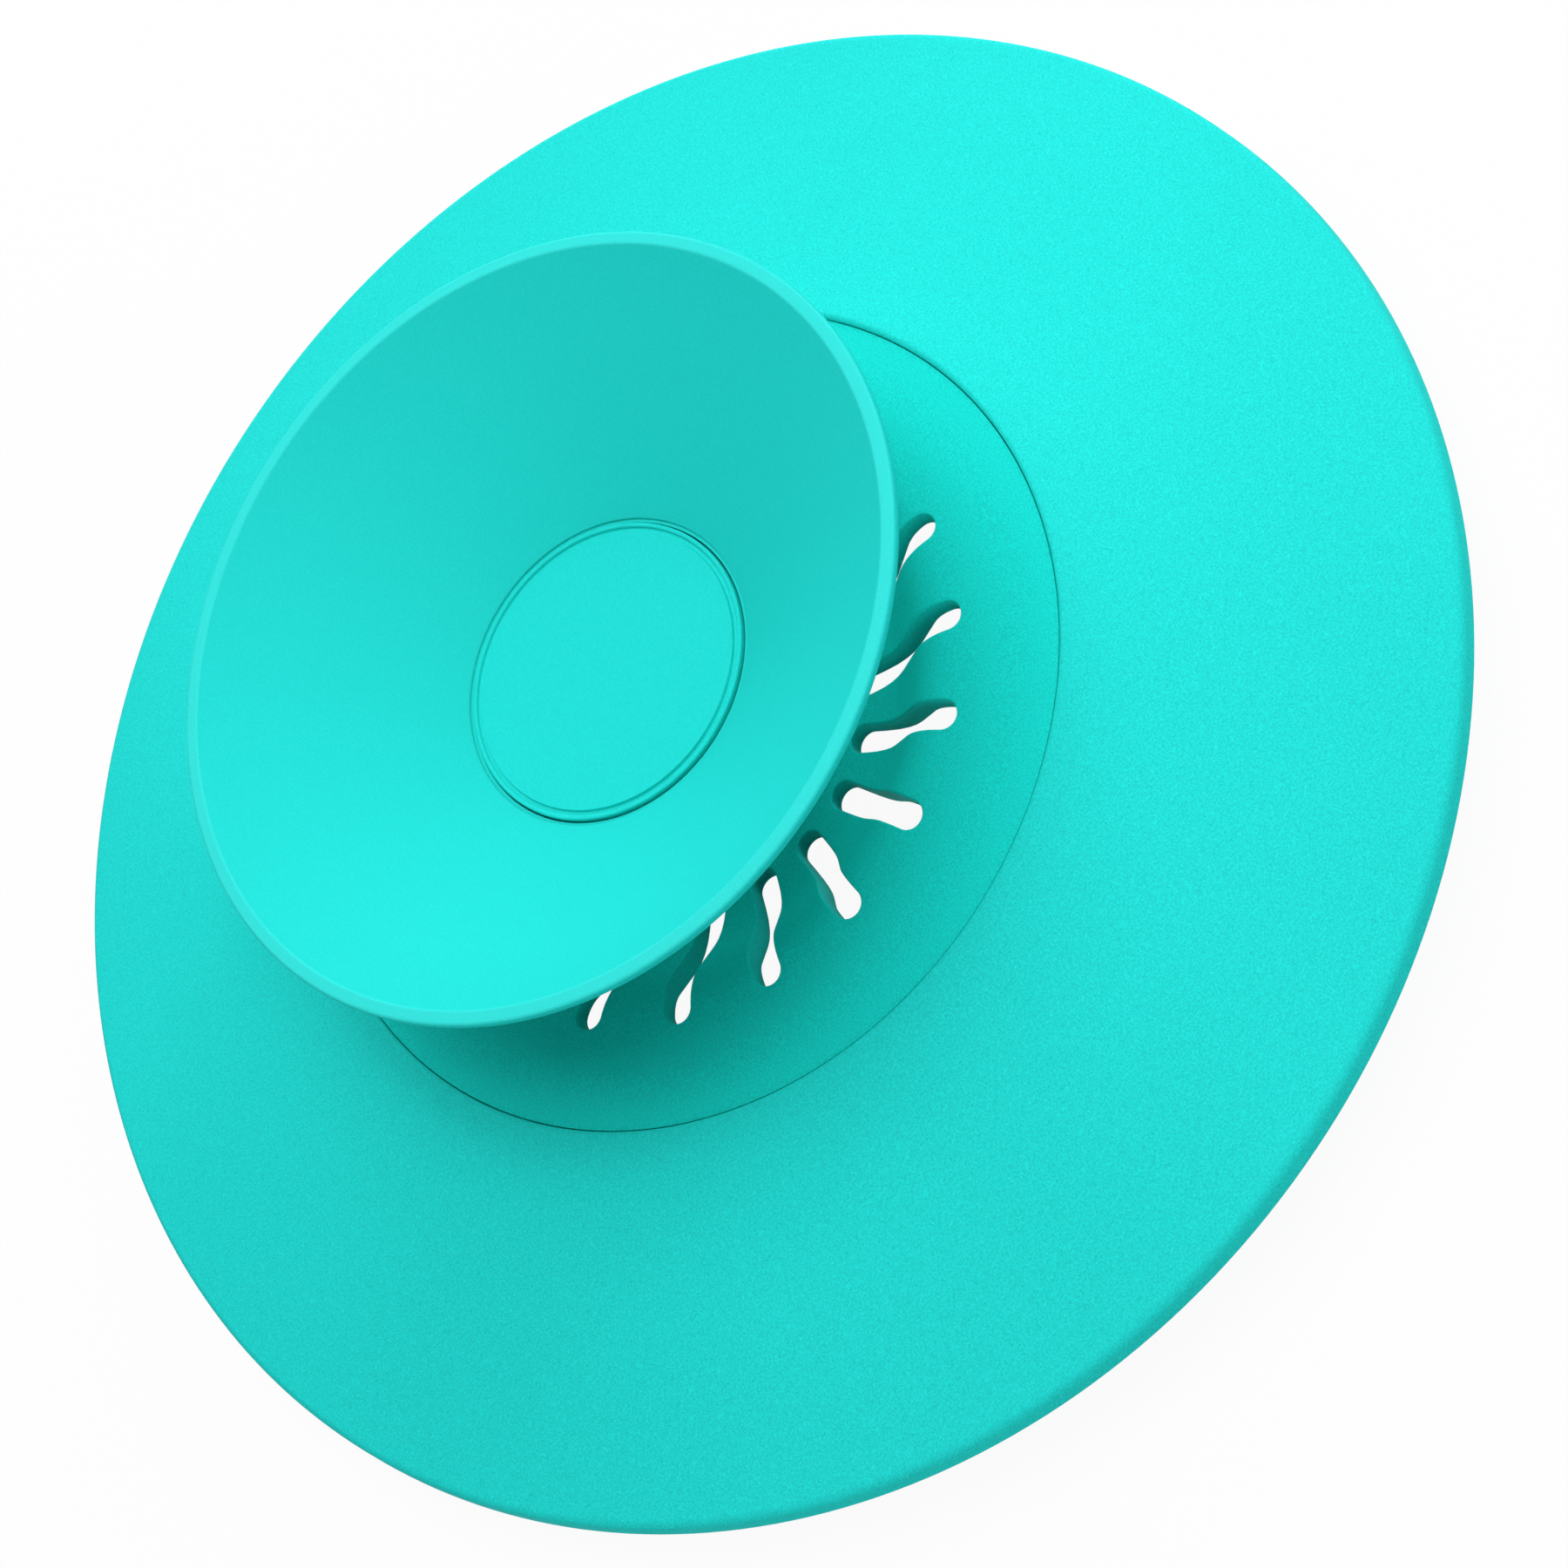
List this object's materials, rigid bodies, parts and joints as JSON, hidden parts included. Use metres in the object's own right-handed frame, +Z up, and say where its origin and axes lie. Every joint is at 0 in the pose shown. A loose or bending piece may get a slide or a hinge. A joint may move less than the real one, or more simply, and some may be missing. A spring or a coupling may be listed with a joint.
{
  "type": "floor drain cover",
  "caption": "Round silicone floor drain cover: a shallow cone with a rounded edge, a slotted funnel strainer in its middle, and a flared sealing cup on a neck that is pressed out by a button.",
  "frame": {"origin": "middle of the press button's flat face, which the part stands on", "axes": "+Z up along the axis, from the press button to the cup's mouth; +X and +Y across the round cover"},
  "size_m": [0.15, 0.15, 0.0374],
  "materials": {
    "cover_silicone": "matte silicone with a very fine grain",
    "cup_silicone": "satin silicone",
    "plug_plastic": "satin moulded plastic"
  },
  "bodies": {
    "cover": {"cover_disc": "cover_silicone", "strainer": "cover_silicone"},
    "cup": {"seal_cup": "cup_silicone", "plug": "plug_plastic", "press_button": "plug_plastic"}
  },
  "joints": [
    {"name": "press_stroke", "type": "slide", "parent": "cover", "child": "cup", "axis": [0, 0, 1], "range_m": [0, 0.0175], "deforming": ["strainer"]}
  ]
}
